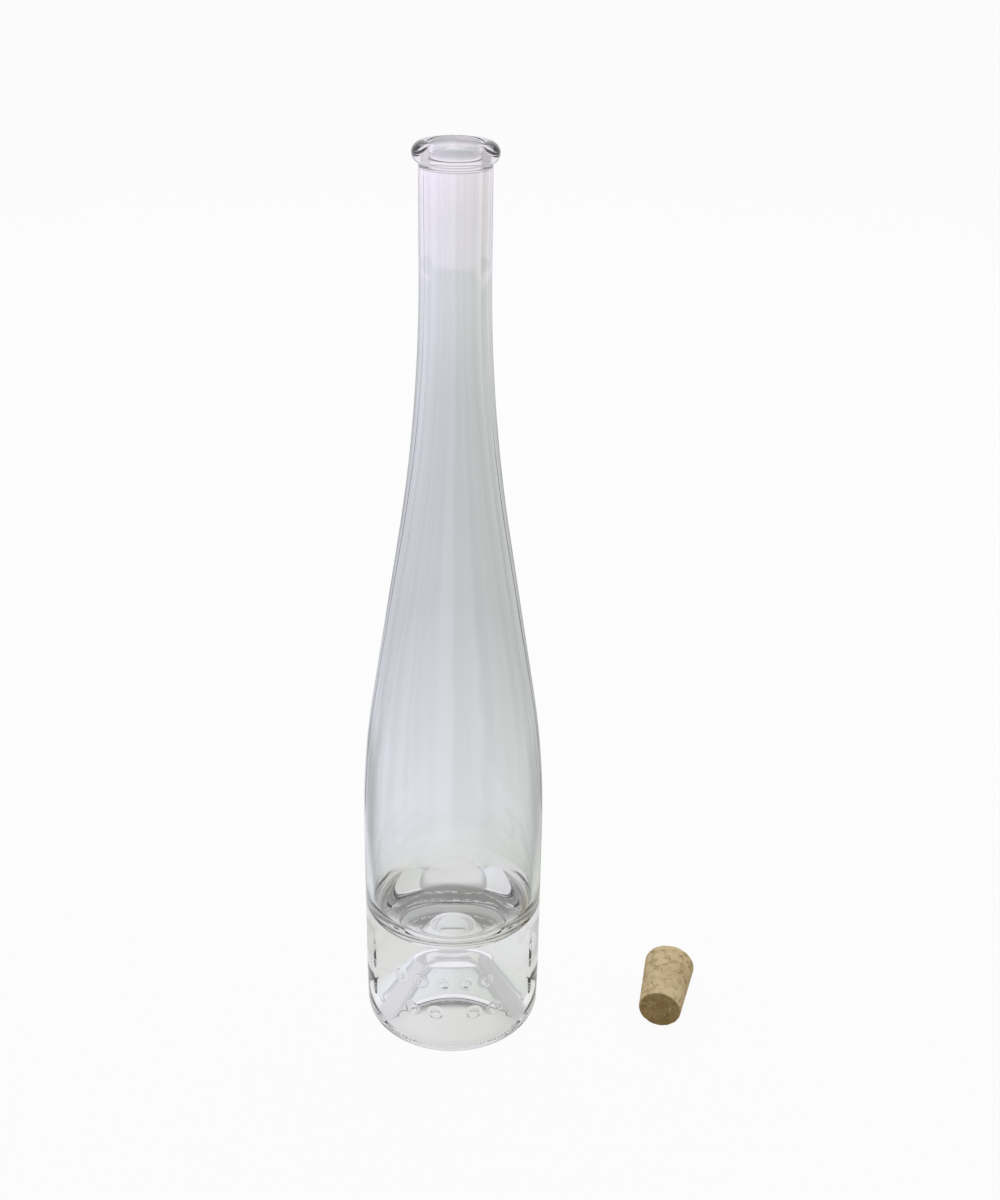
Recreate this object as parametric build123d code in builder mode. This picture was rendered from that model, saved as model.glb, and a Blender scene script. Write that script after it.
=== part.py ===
# Tall slim glass bottle with a tapered cork, the cork out and lying beside it.
# Millimetres. The bottle stands on Z = 0 with its axis on Z. The cork lies at +X, its small end towards -Y.
from math import atan, cos, degrees, radians, sin
import os

from build123d import *

# Bottle, heights from the surface it stands on
total_height = 320.0
body_diameter = 63.9
body_wall = 3.0
belly_height = 23.0         # where the side reaches its full diameter
base_draw = 0.35            # how far the side draws in at the heel, on the radius
heel_round = 5.6

# Shoulder: a straight slope between two corners, each eased into a long bend
lower_corner_height = 106.7
upper_corner_drop = 82.3    # from the top of the bottle down to the upper corner
lower_bend = 26.6           # the bend reaches this far above and below its corner
upper_bend = 44.5

# Neck and mouth, from the bore outwards and from the top down
bore_diameter = 17.0
bore_length = 28.0          # straight seat for the cork
mouth_round = 0.9           # rounded inner edge of the mouth
throat_step = 0.3           # the neck is this much narrower behind the seat, on the radius
neck_wall = 2.75
lip_height = 6.4
lip_crown = 3.1             # from the top down to the lip's widest ring
lip_overhang = 2.1

# Thick base, inside: a shallow dish, then a steeper side up to the wall
floor_height = 41.0         # middle of the dish
floor_thickness = 7.5       # glass between the dish and the push-up
dish_rise = 1.6             # from its middle to its edge
side_width = 7.25           # from the dish's edge outwards
side_rise = 5.1
corner_width = 1.7          # bevel between that side and the wall
corner_rise = 3.3

# Thick base, underneath
bearing_width = 6.5         # flat ring that it stands on
push_up_edge = 1.2          # bevel at the push-up's mouth
push_up_crown_rise = 3.0    # bevel round its top
crown_share = 0.44          # the push-up's radius under that bevel, as a share of its mouth's
crown_flat_share = 0.62     # the flat top's radius, as a share of the radius under the bevel

# The lip's top is one curve whose handles are this share of its width and height: about a quarter ellipse
lip_round_share = 0.5523

# Cork, set against the bore that it stops
cork_lead = 1.2             # the small end is this much under the bore
cork_squeeze = 1.9          # the large end is this much over it
cork_length = 26.2
cork_bevel = 0.5
cork_gap = 45.0             # from the bottle's side to the small end, along X
cork_forward = 14.7         # from the bottle's axis to the small end, along -Y
cork_turn = 14.75           # degrees that the cork lies turned from Y towards X

# Sizes that follow: outside and neck
body_radius = body_diameter / 2
heel_top_radius = body_radius - base_draw
bearing_radius = heel_top_radius - heel_round
bore_radius = bore_diameter / 2
throat_radius = bore_radius - throat_step
neck_radius = bore_radius + neck_wall
lip_radius = neck_radius + lip_overhang
crown_radius = bore_radius + mouth_round
lip_top_width = lip_radius - crown_radius
lip_underside = total_height - lip_height
lip_widest = total_height - lip_crown
bore_end = total_height - bore_length

# Sizes that follow: the shoulder's bends, the same heights inside and outside
upper_corner_height = total_height - upper_corner_drop
slope_height = upper_corner_height - lower_corner_height
lower_bend_start = lower_corner_height - lower_bend
lower_bend_end = lower_corner_height + lower_bend
upper_bend_start = upper_corner_height - upper_bend
upper_bend_end = upper_corner_height + upper_bend

# Sizes that follow: the base, inside from the cavity's side inwards, then the push-up
cavity_radius = body_radius - body_wall
side_radius = cavity_radius - corner_width
dish_radius = side_radius - side_width
dish_edge_height = floor_height + dish_rise
side_top = dish_edge_height + side_rise
corner_top = side_top + corner_rise
push_up_height = floor_height - floor_thickness
push_up_radius = bearing_radius - bearing_width
push_up_crown_radius = crown_share * push_up_radius
push_up_crown_height = push_up_height - push_up_crown_rise


# Adds a shoulder to the outline being drawn, from its foot up to its head, eased at both of its corners
def shoulder(wide_radius, narrow_radius, foot, head):
    slope = (wide_radius - narrow_radius) / slope_height
    low = (wide_radius - slope * lower_bend, lower_bend_end)
    high = (narrow_radius + slope * upper_bend, upper_bend_start)
    Line((wide_radius, foot), (wide_radius, lower_bend_start))
    Bezier((wide_radius, lower_bend_start), (wide_radius, lower_corner_height), low)
    Line(low, high)
    Bezier(high, (narrow_radius, upper_corner_height), (narrow_radius, upper_bend_end))
    Line((narrow_radius, upper_bend_end), (narrow_radius, head))


os.makedirs("parts", exist_ok=True)

# Glass bottle: one closed outline, turned about Z
with BuildPart() as glass_bottle:
    with BuildSketch(Plane.XZ) as bottle_section:
        with BuildLine() as bottle_outline:
            # inside, from the middle of the dish to the cavity's side
            Polyline(
                (0, floor_height),
                (dish_radius, dish_edge_height),
                (side_radius, side_top),
                (cavity_radius, corner_top),
            )
            # inside, up to the mouth
            shoulder(cavity_radius, throat_radius, corner_top, bore_end)
            Line((throat_radius, bore_end), (bore_radius, bore_end + throat_step))
            Line((bore_radius, bore_end + throat_step), (bore_radius, total_height - mouth_round))
            CenterArc((crown_radius, total_height - mouth_round), mouth_round, 180, -90)
            # lip, a rounded bead
            Bezier(
                (crown_radius, total_height),
                (crown_radius + lip_round_share * lip_top_width, total_height),
                (lip_radius, lip_widest + lip_round_share * lip_crown),
                (lip_radius, lip_widest),
            )
            EllipticalCenterArc(
                (neck_radius, lip_widest), lip_overhang, lip_height - lip_crown, 0, arc_size=-90
            )
            # outside, from the neck down to the heel
            shoulder(body_radius, neck_radius, belly_height, lip_underside)
            Line((body_radius, belly_height), (heel_top_radius, heel_round))
            CenterArc((bearing_radius, heel_round), heel_round, 0, -90)
            # underside: the ring it stands on, and the push-up
            Polyline(
                (bearing_radius, 0),
                (push_up_radius + push_up_edge, 0),
                (push_up_radius, push_up_edge),
                (push_up_crown_radius, push_up_crown_height),
                (crown_flat_share * push_up_crown_radius, push_up_height),
                (0, push_up_height),
                (0, floor_height),
            )
        make_face()
    revolve(axis=Axis.Z)

# Cork: a cone cut off at both ends, lying on its side so that the axis rises towards the large end
cork_small_radius = (bore_diameter - cork_lead) / 2
cork_large_radius = (bore_diameter + cork_squeeze) / 2
cork_half_angle = atan((cork_large_radius - cork_small_radius) / cork_length)
cork_heading = Vector(sin(radians(cork_turn)), cos(radians(cork_turn)), 0)
cork_axis = cork_heading * cos(cork_half_angle) + Vector(0, 0, sin(cork_half_angle))
cork_upright = Vector(0, 0, cos(cork_half_angle)) - cork_heading * sin(cork_half_angle)
cork_touch = Vector(body_radius + cork_gap, -cork_forward, 0)
small_end = Plane(origin=cork_touch + cork_upright * cork_small_radius, z_dir=cork_axis)

with BuildPart(small_end) as cork_stopper:
    Cone(
        cork_small_radius,
        cork_large_radius,
        cork_length,
        align=(Align.CENTER, Align.CENTER, Align.MIN),
    )
    chamfer(cork_stopper.edges().filter_by(GeomType.CIRCLE), cork_bevel)

print(f"cork: {2 * cork_small_radius:.1f} to {2 * cork_large_radius:.1f} mm")
print(f"cork's side leans {degrees(cork_half_angle):.2f} degrees")
print(f"neck: {2 * neck_radius:.1f} mm outside, lip {2 * lip_radius:.1f} mm")

glass_bottle.part.label = "glass_bottle"
cork_stopper.part.label = "cork_stopper"
export_step(glass_bottle.part, "parts/glass_bottle.step")
export_step(cork_stopper.part, "parts/cork_stopper.step")
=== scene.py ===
# Tall clear glass bottle with a long shoulder and a thick base, its tapered cork out and lying beside it.
from math import atan, cos, exp, hypot, pi, radians, sin, tan

import bpy
from mathutils import Matrix, Vector, noise


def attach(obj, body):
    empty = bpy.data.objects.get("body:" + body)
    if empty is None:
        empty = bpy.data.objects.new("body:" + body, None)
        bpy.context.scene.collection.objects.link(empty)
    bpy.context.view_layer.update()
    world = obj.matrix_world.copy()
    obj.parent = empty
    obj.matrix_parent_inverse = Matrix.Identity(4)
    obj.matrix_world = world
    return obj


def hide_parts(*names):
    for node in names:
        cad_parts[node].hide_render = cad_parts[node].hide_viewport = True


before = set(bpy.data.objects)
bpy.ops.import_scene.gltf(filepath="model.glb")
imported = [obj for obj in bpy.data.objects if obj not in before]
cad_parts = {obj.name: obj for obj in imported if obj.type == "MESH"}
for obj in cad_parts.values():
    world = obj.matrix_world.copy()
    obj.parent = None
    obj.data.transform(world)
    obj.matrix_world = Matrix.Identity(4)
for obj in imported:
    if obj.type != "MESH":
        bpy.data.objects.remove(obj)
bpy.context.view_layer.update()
print("frame loaded")

mm = 0.001  # lengths below are in millimetres, Blender's in metres


# Shader maths, meshes

class Wire:  # one output socket, so that shader maths reads as Python
    def __init__(self, paint, socket):
        self.paint, self.socket = paint, socket

    def __add__(self, other):
        return self.paint.maths("ADD", self, other)

    def __sub__(self, other):
        return self.paint.maths("SUBTRACT", self, other)

    def __rsub__(self, other):
        return self.paint.maths("SUBTRACT", other, self)

    def __mul__(self, other):
        return self.paint.maths("MULTIPLY", self, other)

    def __truediv__(self, other):
        return self.paint.maths("DIVIDE", self, other)

    def __pow__(self, other):
        return self.paint.maths("POWER", self, other)

    __radd__ = __add__
    __rmul__ = __mul__


class Paint:  # the nodes of one material, or of the world
    def __init__(self, tree):
        self.tree = tree
        tree.nodes.clear()

    def node(self, kind, settings=None, values=None):
        made = self.tree.nodes.new("ShaderNode" + kind)
        for name, value in (settings or {}).items():
            if name == "stops":
                for stop in value[2:]:
                    made.color_ramp.elements.new(stop[0])
                for element, stop in zip(made.color_ramp.elements, value):
                    element.position = stop[0]
                    element.color = (*stop[1], 1.0)
            else:
                setattr(made, name, value)
        for name, value in (values or {}).items():
            if isinstance(value, Wire):
                self.tree.links.new(value.socket, made.inputs[name])
            else:
                made.inputs[name].default_value = value
        return made

    def wire(self, kind, settings=None, values=None, out=0):
        return Wire(self, self.node(kind, settings, values).outputs[out])

    def maths(self, operation, first, second=0.0):
        return self.wire("Math", {"operation": operation}, {0: first, 1: second})

    def larger(self, first, second):
        return self.maths("MAXIMUM", first, second)

    def blend(self, factor, first, second, how="MIX"):  # colours go through Mix
        values = {0: factor}
        for slot, value in ((6, first), (7, second)):
            values[slot] = value if isinstance(value, Wire) else (*value, 1.0)
        return self.wire("Mix", {"data_type": "RGBA", "blend_type": how}, values, out=2)

    def ramp(self, factor, low, high):  # 0 below low, 1 above high, smooth between
        return self.wire("MapRange", {"interpolation_type": "SMOOTHSTEP"},
                         {"Value": factor, "From Min": low, "From Max": high})

    def band(self, value, start, full, fade, end):  # 1 from full to fade, 0 outside start and end
        return self.ramp(value, start, full) * (1.0 - self.ramp(value, fade, end))

    def rays(self, *kinds):  # 1 on a ray of one of these kinds
        path = self.node("LightPath")
        wires = [Wire(self, path.outputs["Is " + kind + " Ray"]) for kind in kinds]
        return wires[0] if len(wires) == 1 else self.larger(*wires)

    def place(self):  # a point of the piece, in metres
        return self.wire("TexCoord", out=3)

    def parts(self, vector):
        made = self.node("SeparateXYZ", None, {0: vector})
        return [Wire(self, socket) for socket in made.outputs]


def newMaterial(name):
    material = bpy.data.materials.new(name)
    material.use_nodes = True
    return material, Paint(material.node_tree)


def newMesh(name, points, faces, material, smooth=True):
    mesh = bpy.data.meshes.new(name)
    mesh.from_pydata(points, [], faces)
    mesh.update()
    piece = bpy.data.objects.new(name, mesh)
    bpy.context.scene.collection.objects.link(piece)
    mesh.materials.append(material)
    mesh.polygons.foreach_set("use_smooth", [smooth] * len(mesh.polygons))
    return piece


def rows(rings, first, last):  # skins rings of equal length, closed by a point at each end
    around = len(rings[0])
    points = [first] + [point for ring in rings for point in ring] + [last]
    faces = []
    for i in range(around):
        j = (i + 1) % around
        faces.append((0, 1 + i, 1 + j))
        for row in range(len(rings) - 1):
            a, b = 1 + row * around, 1 + (row + 1) * around
            faces.append((a + i, b + i, b + j, a + j))
        a = 1 + (len(rings) - 1) * around
        faces.append((len(points) - 1, a + j, a + i))
    return points, faces


def smoothStep(value, low, high):
    t = min(1.0, max(0.0, (value - low) / (high - low)))
    return t * t * (3 - 2 * t)


# Outlines are lists of (radius, height)

def arc(centre, width, height, start, turn, steps):
    angles = [radians(start + turn * i / steps) for i in range(steps + 1)]
    return [(centre[0] + width * cos(a), centre[1] + height * sin(a)) for a in angles]


def bend(start, corner, end, steps=48):  # eased through a corner
    path = []
    for i in range(steps + 1):
        t = i / steps
        shares = (1 - t) ** 2, 2 * t * (1 - t), t * t
        path.append(tuple(shares[0] * a + shares[1] * b + shares[2] * c for a, b, c in zip(start, corner, end)))
    return path


def rounded(corners, radii, steps=14):  # straight runs with a round of its own at each corner
    path = [corners[0]]
    for before, corner, after, radius in zip(corners, corners[1:], corners[2:], radii):
        here = Vector(corner)
        back, ahead = (Vector(before) - here).normalized(), (Vector(after) - here).normalized()
        half = back.angle(ahead) / 2
        centre = here + (back + ahead).normalized() * radius / sin(half)
        first = (here + back * radius / tan(half) - centre).normalized()
        last = (here + ahead * radius / tan(half) - centre).normalized()
        path += [tuple(centre + first.slerp(last, i / steps).normalized() * radius) for i in range(steps + 1)]
    return path + [corners[-1]]


def spaced(path, longest):  # adds points on long runs and drops double ones
    points = [path[0]]
    for start, end in zip(path, path[1:]):
        length = hypot(end[0] - start[0], end[1] - start[1])
        if length < 1e-4:
            continue
        steps = int(length / longest + 0.999)
        points += [tuple(Vector(start).lerp(Vector(end), i / steps)) for i in range(1, steps + 1)]
    return points


# Bottle

bottle = {
    "height": 320.0, "bodyRadius": 31.95, "wall": 3.0,
    "lowerCorner": 106.7, "upperCorner": 237.7, "lowerBend": 26.6, "upperBend": 44.5,
    "boreRadius": 8.5, "throatStep": 0.3, "neckWall": 2.75, "mouthRound": 0.9,
    "lipHeight": 6.1, "lipCrown": 3.4, "lipOverhang": 2.1,
    "bellyHeight": 23.0, "bellyEase": 6.0, "baseDraw": 0.35, "heelRound": 5.6, "bearingWidth": 6.5,
    "pushUpEdge": 1.2, "pushUpHeight": 33.5, "pushUpTopRadius": 8.5, "pushUpCrown": 3.0,
    "domeRadius": 5.4, "pushUpRounds": (0.5, 1.2, 4.0, 6.0),    # of its corners, from its mouth to its top
    "floorHeight": 41.0, "dishRadius": 20.0, "dishRise": 1.6, "sideRise": 6.3,
    "dishRound": 14.0, "sideRound": 12.0,
    "inset": 0.04,          # keeps the skin just inside the built size
    "wave": 0.07,           # how far the inside wall wanders, as pressed and blown glass does
    "waveIn": (45.0, 55.0), "waveOut": (262.0, 288.0),      # heights between which it comes and goes
    "waveWidth": 16.0, "waveHeight": 42.0,
    "seam": 0.05,           # height of the mould's two seams
    "seamHalf": 0.55, "seamIn": (6.0, 12.0), "seamOut": (311.0, 313.0),
    "outsideWave": 0.012, "underWave": 0.02,
    "longestRun": 2.0,      # of the mesh, along the outline
    "fineTurn": 0.0105, "coarseTurn": 0.0275, "seamFine": 0.05,     # and round the axis, as angles
}

beads = {  # two rows of low plain rings on the front of the base
    "high": 0.24, "radius": 1.95, "width": 0.6,
    "upper": (33.0, (-35, -21, -5, 9, 22)),     # height, and degrees from the front
    "lower": (20.0, (-27, -11, 14, 28)),
    "zoneIn": (14, 18), "zoneOut": (37, 44),    # the skin sinks by their height between these, to make room
    "zoneHalf": 1.1,                            # and this far round to each side, as an angle
    # the mesh is finer from 12 to 42 high, where its runs are over 0.6 long, and on the front
    "finer": (12, 42), "finerOver": 0.6, "finerSteps": 6, "finerHalf": 0.9,
}


def shoulder(b, wide, narrow):  # from the body up to the neck
    slope = (wide - narrow) / (b["upperCorner"] - b["lowerCorner"])
    low, high, easeLow, easeHigh = b["lowerCorner"], b["upperCorner"], b["lowerBend"], b["upperBend"]
    foot = bend((wide, low - easeLow), (wide, low), (wide - slope * easeLow, low + easeLow))
    head = bend((narrow + slope * easeHigh, high - easeHigh), (narrow, high), (narrow, high + easeHigh))
    return foot + head


def insideOutline(b):  # from the middle of the floor up to the mouth
    cavity, bore = b["bodyRadius"] - b["wall"], b["boreRadius"]
    dishEdge = b["floorHeight"] + b["dishRise"]
    path = rounded(
        [(0, b["floorHeight"]), (b["dishRadius"], dishEdge), (cavity, dishEdge + b["sideRise"]),
         (cavity, b["lowerCorner"] - b["lowerBend"])],
        (b["dishRound"], b["sideRound"]))
    path += shoulder(b, cavity, bore - b["throatStep"])
    # from there the neck widens to the mouth so little that it doesn't show
    mouth = b["mouthRound"]
    return path + arc((bore + mouth, b["height"] - mouth), mouth, mouth, 180, -90, 10)


def outsideOutline(b):  # from the lip's top down to the heel
    neck, crown = b["boreRadius"] + b["neckWall"], b["boreRadius"] + b["mouthRound"]
    widest, heelTop = b["height"] - b["lipCrown"], b["bodyRadius"] - b["baseDraw"]
    path = arc((crown, widest), neck + b["lipOverhang"] - crown, b["lipCrown"], 90, -90, 18)
    path += arc((neck, widest), b["lipOverhang"], b["lipHeight"] - b["lipCrown"], 0, -90, 14)
    path += shoulder(b, b["bodyRadius"], neck)[::-1]
    belly, ease, heel = b["bellyHeight"], b["bellyEase"], b["heelRound"]
    path += bend((b["bodyRadius"], belly + ease), (b["bodyRadius"], belly - ease), (heelTop, heel), 16)
    return path + arc((heelTop - heel, heel), heel, heel, 0, -90, 20)


def underOutline(b):  # from the ring it stands on to the top of the push-up
    bearing = b["bodyRadius"] - b["baseDraw"] - b["heelRound"]
    mouth, shoulderHeight = bearing - b["bearingWidth"], b["pushUpHeight"] - b["pushUpCrown"]
    return rounded([(bearing, 0), (mouth + b["pushUpEdge"], 0), (mouth, b["pushUpEdge"]),
                    (b["pushUpTopRadius"], shoulderHeight), (b["domeRadius"], b["pushUpHeight"]),
                    (0, b["pushUpHeight"])], b["pushUpRounds"], 12)


def bottleRows(b, d):  # rows of the mesh, as (radius, height, part), from the floor round to the push-up
    ends = []
    for part, path in (("inside", insideOutline(b)), ("outside", outsideOutline(b)), ("under", underOutline(b))):
        ends += [(radius, height, part) for radius, height in spaced(path, b["longestRun"])]
    made, (low, high) = [], d["finer"]
    for before, after in zip(ends, ends[1:]):
        made.append(before)
        isFiner = before[2] == after[2] == "outside" and low < after[1] and before[1] < high
        steps = d["finerSteps"] if isFiner and before[1] - after[1] > d["finerOver"] else 1
        made += [(*Vector(before[:2]).lerp(Vector(after[:2]), i / steps), before[2]) for i in range(1, steps)]
    made.append(ends[-1])
    made = [row for row, before in zip(made, [None] + made)     # no row twice
            if not before or hypot(row[0] - before[0], row[1] - before[1]) > 1e-4]
    widest = b["bodyRadius"] - b["inset"]
    return [(min(radius, widest), height, part) for radius, height, part in made]


def bottleColumns(b, d):  # angles round the axis, closer on the front and at the seams
    angles, angle = [], -pi
    while angle < pi - b["fineTurn"] / 2:
        angles.append(angle)
        atSeam = any(abs(angle - seam) < b["seamFine"] for seam in (-pi, 0, pi))
        angle += b["fineTurn"] if atSeam or abs(angle + pi / 2) < d["finerHalf"] else b["coarseTurn"]
    return angles


def bottleRelief(b, d):  # how much glass is added at a point of the skin
    spots = []
    for height, degrees in (d["upper"], d["lower"]):
        spots += [(radians(turn) - pi / 2, height) for turn in degrees]

    def push(part, radius, height, angle):
        point = Vector((radius * cos(angle), radius * sin(angle), height))
        if part == "inside":
            fade = smoothStep(height, *b["waveIn"]) * (1 - smoothStep(height, *b["waveOut"]))
            stretched = Vector((point.x / b["waveWidth"], point.y / b["waveWidth"], height / b["waveHeight"]))
            return fade * b["wave"] * (noise.noise(stretched) + 0.35 * noise.noise(stretched * 2.7))
        if part == "under":
            return b["underWave"] * noise.noise(point / 5) * smoothStep(height, 3, 8)
        amount = b["outsideWave"] * noise.noise(point / 9)
        off = min(abs(angle), pi - abs(angle)) * radius
        amount += b["seam"] * max(0.0, 1 - (off / b["seamHalf"]) ** 2) * smoothStep(height, *b["seamIn"]) * (
            1 - smoothStep(height, *b["seamOut"]))
        if height < d["zoneOut"][1] and abs(angle + pi / 2) < d["zoneHalf"]:
            amount -= d["high"] * smoothStep(height, *d["zoneIn"]) * (1 - smoothStep(height, *d["zoneOut"]))
            for spotAngle, spotHeight in spots:
                away = hypot((angle - spotAngle) * radius, height - spotHeight) - d["radius"]
                amount += d["high"] * exp(-(away / d["width"]) ** 2)
        return min(amount, 0.0) if radius > b["bodyRadius"] - 0.2 else amount

    return push


def lathe(name, outline, angles, material, push):
    rings = []
    for before, (radius, height, part), after in zip(outline, outline[1:], outline[2:]):
        out = Vector((before[1] - after[1], after[0] - before[0])).normalized()
        ring = []
        for angle in angles:
            amount = push(part, radius, height, angle)
            r, z = radius + out.x * amount, max(0.0, height + out.y * amount)
            ring.append((r * cos(angle) * mm, r * sin(angle) * mm, z * mm))
        rings.append(ring)
    points, faces = rows(rings, (0, 0, outline[0][1] * mm), (0, 0, outline[-1][1] * mm))
    return newMesh(name, points, faces, material)


glass = {
    "ior": 1.52,
    # the lavender towards the lip is painted light, not the glass's own colour
    "tint": (0.955, 0.962, 0.96), "lipPaintedLight": (0.965, 0.945, 0.97), "lipFrom": (308, 315),   # heights
    "edgeShade": (0.62, 0.64, 0.63), "edgeFrom": (0.70, 0.98),           # painted shade where it's seen edge on
    "baseEdgeShade": (0.78, 0.79, 0.76), "baseEdgeFrom": (0.52, 0.80),   # and painted shade over a wider strip, low down
    "baseEnds": (85, 125),              # heights between which that strip goes
    "shadeTint": (0.94, 0.945, 0.94),   # what is left of the light that falls through
    "ripple": 0.0016,                   # height of the fine ripple
    "ripplesPerMetre": 210.0, "rippleDetail": 1.5, "rippleRoughness": 0.45,
    "stipple": 0.22,                    # height of the dots on the ring it stands on
    "dotsPerMetre": 1000.0, "dotRings": ((20.6, 22.0), (24.7, 26.2)), "dotFade": 0.3, "dotTop": (0.6, 1.6),
}


def glassMaterial(look):
    material, p = newMaterial("clearGlass")
    facing = p.wire("LayerWeight", None, {"Blend": 0.5}, out=1)
    place = p.place()
    x, y, z = p.parts(place)
    height = z / mm
    tint = p.blend(p.ramp(height, *look["lipFrom"]), look["tint"], look["lipPaintedLight"])
    # painted shade: darker where the glass is seen edge on, and over a wider strip low down
    colour = p.blend(p.ramp(facing, *look["edgeFrom"]), tint, look["edgeShade"])
    lowEdge = p.ramp(facing, *look["baseEdgeFrom"]) * (1.0 - p.ramp(height, *look["baseEnds"]))
    colour = p.blend(lowEdge, colour, look["baseEdgeShade"])
    radius = (x * x + y * y) ** 0.5 / mm
    ripple = p.wire("TexNoise", None, {
        "Vector": place, "Scale": look["ripplesPerMetre"], "Detail": look["rippleDetail"],
        "Roughness": look["rippleRoughness"]})
    dots = p.wire("TexVoronoi", {"feature": "SMOOTH_F1"}, {
        "Vector": place, "Scale": look["dotsPerMetre"], "Smoothness": 0.25, "Randomness": 0.35})
    rings, fade = [], look["dotFade"]
    for inner, outer in look["dotRings"]:
        rings.append(p.band(radius, inner - fade, inner, outer, outer + fade))
    ring = (rings[0] + rings[1]) * (1.0 - p.ramp(height, *look["dotTop"]))
    relief = ripple * look["ripple"] + ring * dots * look["stipple"]
    bump = p.wire("Bump", None, {"Strength": 1.0, "Distance": mm, "Height": relief})
    clear = p.wire("BsdfPrincipled", None, {
        "Base Color": colour, "Roughness": 0.0, "IOR": look["ior"], "Transmission Weight": 1.0,
        "Normal": bump})
    # lamps shine through onto what lies behind or under the glass
    through = p.wire("BsdfTransparent", None, {"Color": (*look["shadeTint"], 1.0)})
    past = p.rays("Shadow", "Diffuse")
    p.node("OutputMaterial", None, {"Surface": p.wire("MixShader", None, {0: past, 1: clear, 2: through})})
    return material


print("building the bottle")
bottleSkin = lathe("bottleSkin", bottleRows(bottle, beads), bottleColumns(bottle, beads), glassMaterial(glass),
                   bottleRelief(bottle, beads))
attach(bottleSkin, "bottle")
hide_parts("glass_bottle")
print("bottle", len(bottleSkin.data.polygons), "faces")


# Cork

cork = {
    "smallRadius": 7.9, "largeRadius": 9.45, "length": 26.2, "bevel": 0.5,
    "touch": (76.95, -14.7),    # where the small end touches the floor
    "turn": 14.75,              # degrees from Y towards X
    "around": 240, "along": 150, "endRings": 42,
    "wear": 0.35,           # how far the two rims are rubbed off
    "wearWidth": 0.9, "wearSpot": 1.7,
    "granule": 2.1,         # width of a granule
    "crevice": 0.16,        # depth between granules
    "creviceWidth": 0.22, "crevicePatch": 4.3,      # a share of a granule, and the patches where they are open
    "lenticel": 0.32,       # depth of the short cracks
    "lenticelSize": (2.6, 0.85),                    # round the cork, and along it
    "grains": ((0.9, 0.05), (0.4, 0.03)),           # width and depth
    "inset": 0.03,          # keeps the skin just inside the built size
}


def corkFrame(c):  # start of the axis, and its three directions
    halfAngle = atan((c["largeRadius"] - c["smallRadius"]) / c["length"])
    heading = Vector((sin(radians(c["turn"])), cos(radians(c["turn"])), 0))
    axis = heading * cos(halfAngle) + Vector((0, 0, sin(halfAngle)))
    upright = Vector((0, 0, cos(halfAngle))) - heading * sin(halfAngle)
    return Vector((*c["touch"], 0)) + upright * c["smallRadius"], axis, upright, axis.cross(upright)


def corkOutline(c):
    small, large, bevel, length = c["smallRadius"], c["largeRadius"], c["bevel"], c["length"]
    starts = [(small * i / c["endRings"], 0) for i in range(c["endRings"])]
    path = [start for start in starts if start[0] < small - bevel]
    path += arc((small - bevel, bevel), bevel, bevel, -90, 90, 5)
    for i in range(1, c["along"]):
        share = i / c["along"]
        path.append((small + (large - small) * share, bevel + (length - 2 * bevel) * share))
    path += arc((large - bevel, length - bevel), bevel, bevel, 0, 90, 5)
    ends = [(large * i / c["endRings"], length) for i in range(c["endRings"])]
    return path + [end for end in reversed(ends) if end[0] < large - bevel]


def corkDepth(c, point, rim):  # how much is missing from the plain cone at a point; rim is 1 at the two edges
    near = noise.voronoi(point / c["granule"])[0]
    crack = 1 - smoothStep(near[1] - near[0], 0.0, c["creviceWidth"])
    openness = smoothStep(noise.noise(point / c["crevicePatch"] + Vector((3, 9, 1))), -0.05, 0.45)
    depth = c["crevice"] * crack * (0.25 + 0.75 * openness)
    wide, tall = c["lenticelSize"]
    streak = noise.noise(Vector((point.x / wide, point.y / wide, point.z / tall)) + Vector((7, 2, 5)))
    depth += c["lenticel"] * smoothStep(streak, 0.47, 0.62)
    depth += sum(deep * (0.5 + 0.5 * noise.noise(point / width)) for width, deep in c["grains"])
    worn = smoothStep(noise.noise(point / c["wearSpot"]), -0.3, 0.5)
    return depth + rim * c["wear"] * (0.35 + 0.65 * worn)


def corkMesh(c, material):
    start, axis, upright, side = corkFrame(c)
    path = corkOutline(c)
    rings = []
    for before, (radius, along), after in zip(path, path[1:], path[2:]):
        out = Vector((after[1] - before[1], before[0] - after[0])).normalized()
        ends = hypot(radius - c["smallRadius"], along), hypot(radius - c["largeRadius"], along - c["length"])
        rim = 1 - smoothStep(min(ends), 0.0, c["wearWidth"])
        ring = []
        for i in range(c["around"]):
            angle = 2 * pi * i / c["around"]
            depth = c["inset"] + corkDepth(c, Vector((radius * cos(angle), radius * sin(angle), along)), rim)
            r, z = radius - out.x * depth, along - out.y * depth
            ring.append((start + axis * z + (upright * cos(angle) + side * sin(angle)) * r) * mm)
        rings.append(ring)
    ends = [(start + axis * along) * mm for along in (0.1, c["length"] - 0.1)]
    points, faces = rows(rings, *ends)
    return newMesh("corkBody", points, faces, material)


corkLook = {
    "pale": (0.70, 0.56, 0.33), "mid": (0.60, 0.46, 0.26), "ruddy": (0.58, 0.41, 0.22),
    "fleck": (0.34, 0.24, 0.12), "hollow": (0.27, 0.185, 0.09),
    "midFrom": (0.30, 0.80), "ruddyFrom": (0.52, 0.68), "fleckFrom": (0.66, 0.80), "hollowFrom": (0.44, 0.485),
    "ruddyShare": 0.5, "fleckShare": 0.75,
    "endShade": (0.47, 0.405, 0.275), "endPale": (0.66, 0.59, 0.45),    # the two ends are darker: cut across the grain, and partly painted shade
    "endPaleFrom": (0.70, 0.95), "endFade": (0.2, 0.6),                 # the fade is along the axis
    "granulesPerMetre": 560.0, "cloudsPerMetre": 95.0, "grainsPerMetre": 1300.0,
    "roughness": 0.86, "gloss": 0.22, "bump": 0.3, "bumpStrength": 0.6,
}


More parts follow.
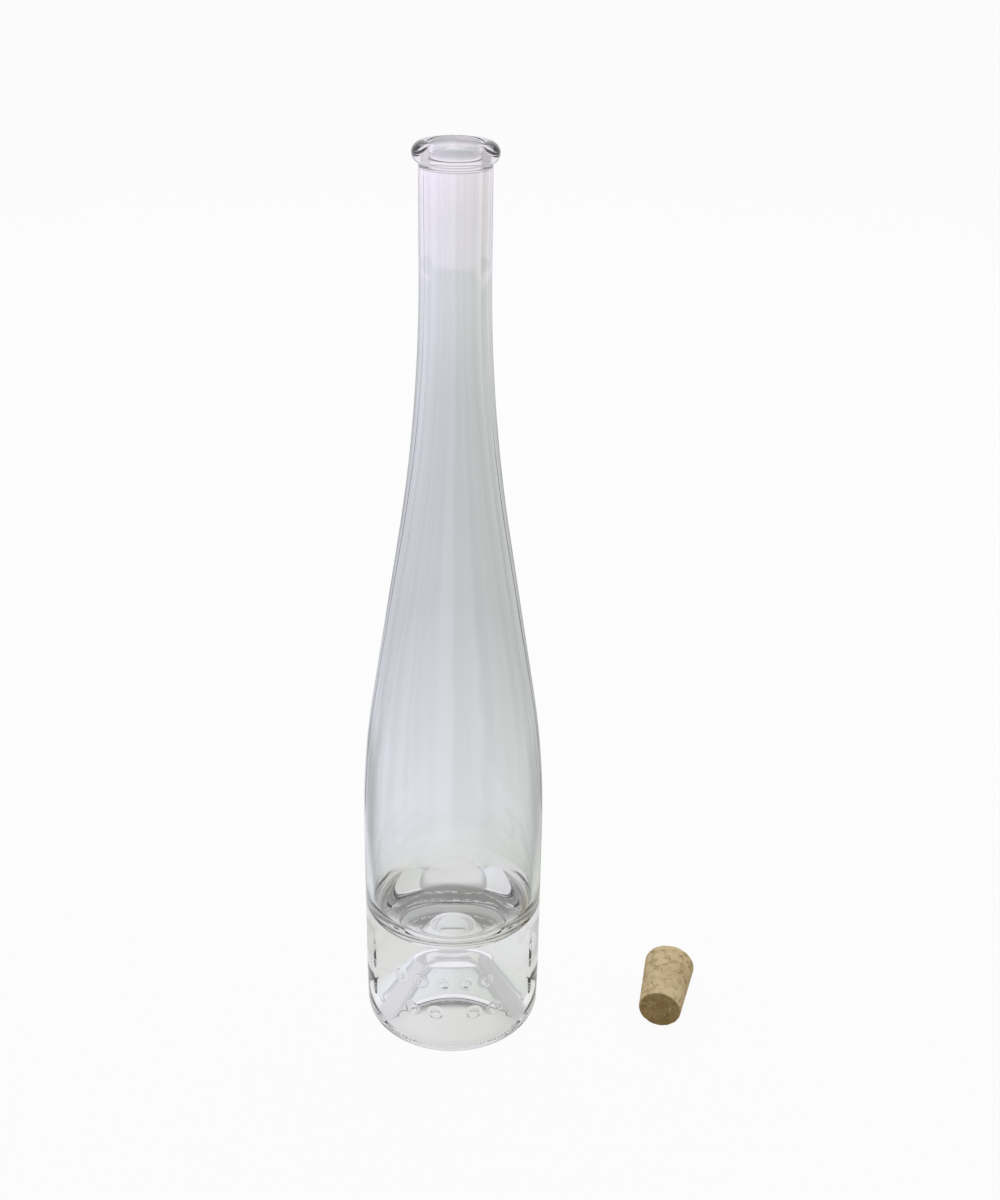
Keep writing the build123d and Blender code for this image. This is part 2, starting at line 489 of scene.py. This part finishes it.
def corkMaterial(look, c):
    material, p = newMaterial("corkGranules")
    place = p.place()
    cells = p.node("TexVoronoi", None, {"Vector": place, "Scale": look["granulesPerMetre"]})
    tone = p.wire("SeparateColor", None, {"Color": Wire(p, cells.outputs["Color"])})
    cloud = p.wire("TexNoise", None, {"Vector": place, "Scale": look["cloudsPerMetre"], "Detail": 3.0})
    grain = p.wire("TexNoise", None, {
        "Vector": place, "Scale": look["grainsPerMetre"], "Detail": 4.0, "Roughness": 0.65})
    colour = p.blend(p.ramp(tone * 0.55 + cloud * 0.55, *look["midFrom"]), look["pale"], look["mid"])
    colour = p.blend(p.ramp(cloud, *look["ruddyFrom"]) * look["ruddyShare"], colour, look["ruddy"])
    flecks = p.ramp(grain + tone * 0.22, *look["fleckFrom"]) * look["fleckShare"]
    colour = p.blend(flecks, colour, look["fleck"])
    hollow = p.wire("NewGeometry", out=7)   # Pointiness: low in cracks
    colour = p.blend(1.0 - p.ramp(hollow, *look["hollowFrom"]), colour, look["hollow"])
    # the two ends, by how far they are along the axis
    start, axis = corkFrame(c)[:2]
    along = p.wire("VectorMath", {"operation": "DOT_PRODUCT"}, {0: place, 1: tuple(axis)}, out=1)
    along = along / mm - float(start.dot(axis))
    near, far = look["endFade"]
    ends = p.larger(1.0 - p.ramp(along, near, far), p.ramp(along, c["length"] - far, c["length"] - near))
    cut = p.blend(p.ramp(grain + cloud * 0.6, *look["endPaleFrom"]), look["endShade"], look["endPale"])
    colour = p.blend(ends, colour, p.blend(1.0, colour, cut, "MULTIPLY"))
    bump = p.wire("Bump", None, {
        "Strength": look["bumpStrength"], "Distance": look["bump"] * mm, "Height": grain + tone * 0.4})
    matt = p.wire("BsdfPrincipled", None, {
        "Base Color": colour, "Roughness": look["roughness"], "Specular IOR Level": look["gloss"],
        "Normal": bump})
    p.node("OutputMaterial", None, {"Surface": matt})
    return material


print("building the cork")
corkBody = corkMesh(cork, corkMaterial(corkLook, cork))
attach(corkBody, "cork")
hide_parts("cork_stopper")


# Floor, light and camera

floorLook = {
    "halfWidth": 6000.0,
    "colour": (0.64, 0.64, 0.64),
    "white": 0.94,          # share of plain white in what the camera sees, the rest keeps the shadow
    "inGlass": 0.8,         # share of the tones below in what the glass shows
    "tonesReach": 4000.0,
    # tone of the floor as glass shows it, by distance from the bottle as a share of the reach: painted light and
    # shade, lighter close by, darker some way out and lighter again farther off
    "tones": ((0.0, (0.775, 0.755, 0.735)), (0.009, (0.775, 0.755, 0.735)), (0.025, (0.79, 0.81, 0.79)),
              (0.035, (0.78, 0.79, 0.82)), (0.06, (0.68, 0.695, 0.715)), (0.09, (0.553, 0.555, 0.577)),
              (0.13, (0.52, 0.52, 0.54)), (0.183, (0.545, 0.545, 0.567)), (0.255, (0.663, 0.663, 0.69)),
              (0.2775, (0.663, 0.66, 0.69)), (0.2795, (0.80, 0.754, 0.814)), (0.33, (0.80, 0.754, 0.814)),
              (0.41, (0.95, 0.87, 0.96)), (0.48, (0.90, 0.83, 0.93)), (0.70, (0.66, 0.64, 0.67)),
              (1.0, (0.58, 0.57, 0.59))),
    # painted light: as glass shows it, the floor is lighter and lavender on the left, darker and greenish on the
    # right
    "paintedLeftLight": (1.165, 1.175, 1.26), "paintedRightShade": (0.95, 0.97, 0.92),
    "tintHalfWidth": 38.0, "tintSpread": 0.20,      # near the bottle, and how it widens with distance
    "paleStreak": (1.05, 1.05, 1.05), "darkStreak": (0.94, 0.94, 0.94), "streaksFrom": (60, 180),
    "streaksAcross": 5.0, "streakEdge": (0.35, 0.65),
    # far off and well to the sides, where the neck's edges look, painted lighter and darker bands; 0 and 1 are 4
    # tint widths left and right
    "sidesFrom": (320, 480), "sideWidths": 4.0, "sideDark": (0.92, 0.92, 0.92), "sidePale": (1.16, 1.16, 1.16),
    "sideShares": ((0.0, 0.30), (0.25, 0.35), (0.30, 0.62), (0.35, 0.62), (0.39, 0.35), (0.65, 0.35),
                   (0.69, 1.0), (0.80, 1.0), (0.875, 0.04), (1.0, 0.04)),
    "contactShadowTone": (0.145, 0.145, 0.13),            # painted shadow under the heel and just round it
    "contactShadowRings": (12.5, 20.5, 25.0, 36.0),       # where it starts, is full, starts to fade and ends
    "contactFront": 0.15, "contactBack": (8, 19),   # its share in front, and where it grows behind
    "heelShadowRings": (25.0, 28.5, 31.0, 34.0), "heelShadowShare": 0.6,    # and a painted shadow all round, close to the heel
    "sideShadeFrom": (74.0, 112.0), "sideShadeTone": (0.50, 0.50, 0.51),     # how far out they start and are full
    "sideShadeEnd": (200, 320),                         # and where they end, away from the bottle
    "dotRings": ((21.0, 1.3), (25.8, 1.3)), "dotsPerMetre": 700.0, "glintTone": (0.60, 0.64, 0.60),
    "dotEdge": (0.30, 0.60),
}


def floorMaterial(look):
    material, p = newMaterial("paleFloor")
    camera, seen = p.rays("Camera"), p.rays("Glossy", "Transmission")
    x, y = [part / mm for part in p.parts(p.place())[:2]]
    away = (x * x + y * y) ** 0.5
    tone = p.wire("ValToRGB", {"stops": look["tones"]}, {0: away / look["tonesReach"]})
    across = x / (away * look["tintSpread"] + look["tintHalfWidth"])
    tint = p.blend(p.ramp(across, -1.0, 1.0), look["paintedLeftLight"], look["paintedRightShade"])
    tone = p.blend(1.0, tone, tint, "MULTIPLY")
    streaks = p.wire("TexNoise", {"noise_dimensions": "1D"}, {
        "W": across, "Scale": look["streaksAcross"], "Detail": 2.0})
    streak = p.blend(p.ramp(streaks, *look["streakEdge"]), look["paleStreak"], look["darkStreak"])
    tone = p.blend(p.ramp(away, *look["streaksFrom"]), tone, p.blend(1.0, tone, streak, "MULTIPLY"))
    shares = [(at, (share,) * 3) for at, share in look["sideShares"]]
    sides = p.wire("ValToRGB", {"stops": shares}, {0: across / (2 * look["sideWidths"]) + 0.5})
    side = p.blend(sides, look["sideDark"], look["sidePale"])
    tone = p.blend(p.ramp(away, *look["sidesFrom"]), tone, p.blend(1.0, tone, side, "MULTIPLY"))
    # painted shadow under and round the bottle, fuller behind it
    fullness = look["contactFront"] + p.ramp(y, *look["contactBack"]) * (1.0 - look["contactFront"])
    heel = p.band(away, *look["heelShadowRings"]) * look["heelShadowShare"]
    paintedShadow = p.larger(p.band(away, *look["contactShadowRings"]) * fullness, heel)
    # painted shade: dark strips on the floor on both sides of the bottle, seen only in the glass, draw its edges
    aside = p.ramp(p.maths("ABSOLUTE", x), *look["sideShadeFrom"]) * (1.0 - p.ramp(away, *look["sideShadeEnd"]))
    tone = p.blend(aside, tone, look["sideShadeTone"])
    # painted glints: lighter dots in the painted shadow, where the dots of the ring that the bottle stands on
    # rest
    dots = p.wire("TexVoronoi", None, {
        "Vector": p.place(), "Scale": look["dotsPerMetre"], "Randomness": 0.5})
    bands = [p.band(away, ring - half, ring, ring, ring + half) for ring, half in look["dotRings"]]
    glints = (bands[0] + bands[1]) * (1.0 - p.ramp(dots, *look["dotEdge"]))
    tone = p.blend(paintedShadow, tone, p.blend(glints, look["contactShadowTone"], look["glintTone"]))
    # the floor glows with its painted tones for glass rays, and plain white for the camera
    shown = p.wire("Emission", None, {"Color": p.blend(camera, tone, (1.0, 1.0, 1.0)), "Strength": 1.0})
    matt = p.wire("BsdfDiffuse", None, {"Color": (*look["colour"], 1.0)})
    share = camera * look["white"] + seen * look["inGlass"] * (1.0 - camera)
    p.node("OutputMaterial", None, {"Surface": p.wire("MixShader", None, {0: share, 1: matt, 2: shown})})
    return material


lightLook = {
    "sky": 0.60,                            # for what is matt
    # in glass: low on the left and on the right, and overhead
    "leftSeen": (0.74, 0.72, 0.76), "rightSeen": (0.56, 0.55, 0.55), "ceilingSeen": (0.60, 0.57, 0.61),
    "ceilingFrom": (0.12, 0.75),
    "backSeen": (0.98, 0.96, 1.0), "backFrom": (0.80, 0.93),    # behind the bottle, which its lip shows
    "keyPlace": (100, 800, 1350), "keyAim": (30, 0, 60), "keySize": (1850, 1350), "keyWatts": 10.2,
}


def worldLight(look):
    world = bpy.data.worlds.new("studio")
    bpy.context.scene.world = world
    world.use_nodes = True
    p = Paint(world.node_tree)
    across, back, up = p.parts(p.wire("TexCoord", out=0))
    horizon = p.blend(p.ramp(across, -1.0, 1.0), look["leftSeen"], look["rightSeen"])
    around = p.blend(p.ramp(up, *look["ceilingFrom"]), horizon, look["ceilingSeen"])
    around = p.blend(p.ramp(back, *look["backFrom"]), around, look["backSeen"])
    colour = p.blend(p.rays("Glossy", "Transmission"), (look["sky"],) * 3, around)
    colour = p.blend(p.rays("Camera"), colour, (1.0, 1.0, 1.0))
    p.node("OutputWorld", None, {"Surface": p.wire("Background", None, {"Color": colour, "Strength": 1.0})})


def softbox(name, place, aim, size, watts):
    light = bpy.data.lights.new(name, "AREA")
    light.shape, light.energy = "RECTANGLE", watts
    light.size, light.size_y = size[0] * mm, size[1] * mm
    lamp = bpy.data.objects.new(name, light)
    lamp.location = Vector(place) * mm
    lamp.visible_transmission = False   # so the thick base doesn't throw its shape about
    lamp.rotation_mode = "QUATERNION"
    lamp.rotation_quaternion = (Vector(aim) - Vector(place)).to_track_quat("-Z", "Y")
    bpy.context.scene.collection.objects.link(lamp)


view = {  # found from the photograph, in pixels of its 1000 by 1200
    "place": (0.0, -497.5, 404.8), "down": 25.346, "turn": 1.777, "roll": 0.982,
    "focal": 1635.9, "tall": 1200.0, "sensor": 36.0, "clip": (0.01, 50.0),
}


def photoCamera(v):
    data = bpy.data.cameras.new("photoCamera")
    data.sensor_width = v["sensor"]
    data.lens = v["sensor"] * v["focal"] / v["tall"]
    data.clip_start, data.clip_end = v["clip"]
    camera = bpy.data.objects.new("photoCamera", data)
    turn = Matrix.Rotation(-radians(v["turn"]), 4, "Z")
    tilt = Matrix.Rotation(radians(90.0 - v["down"]), 4, "X")
    roll = Matrix.Rotation(radians(v["roll"]), 4, "Z")
    camera.matrix_world = Matrix.Translation(Vector(v["place"]) * mm) @ turn @ tilt @ roll
    bpy.context.scene.collection.objects.link(camera)
    bpy.context.scene.camera = camera


print("setting floor, light and camera")
half = floorLook["halfWidth"] * mm
floor = newMesh("floorSheet", [(-half, -half, 0), (half, -half, 0), (half, half, 0), (-half, half, 0)],
                [(0, 1, 2, 3)], floorMaterial(floorLook), smooth=False)
worldLight(lightLook)
softbox("keySoftbox", lightLook["keyPlace"], lightLook["keyAim"], lightLook["keySize"], lightLook["keyWatts"])
photoCamera(view)
bpy.context.scene.view_settings.view_transform = "Standard"

print("done")
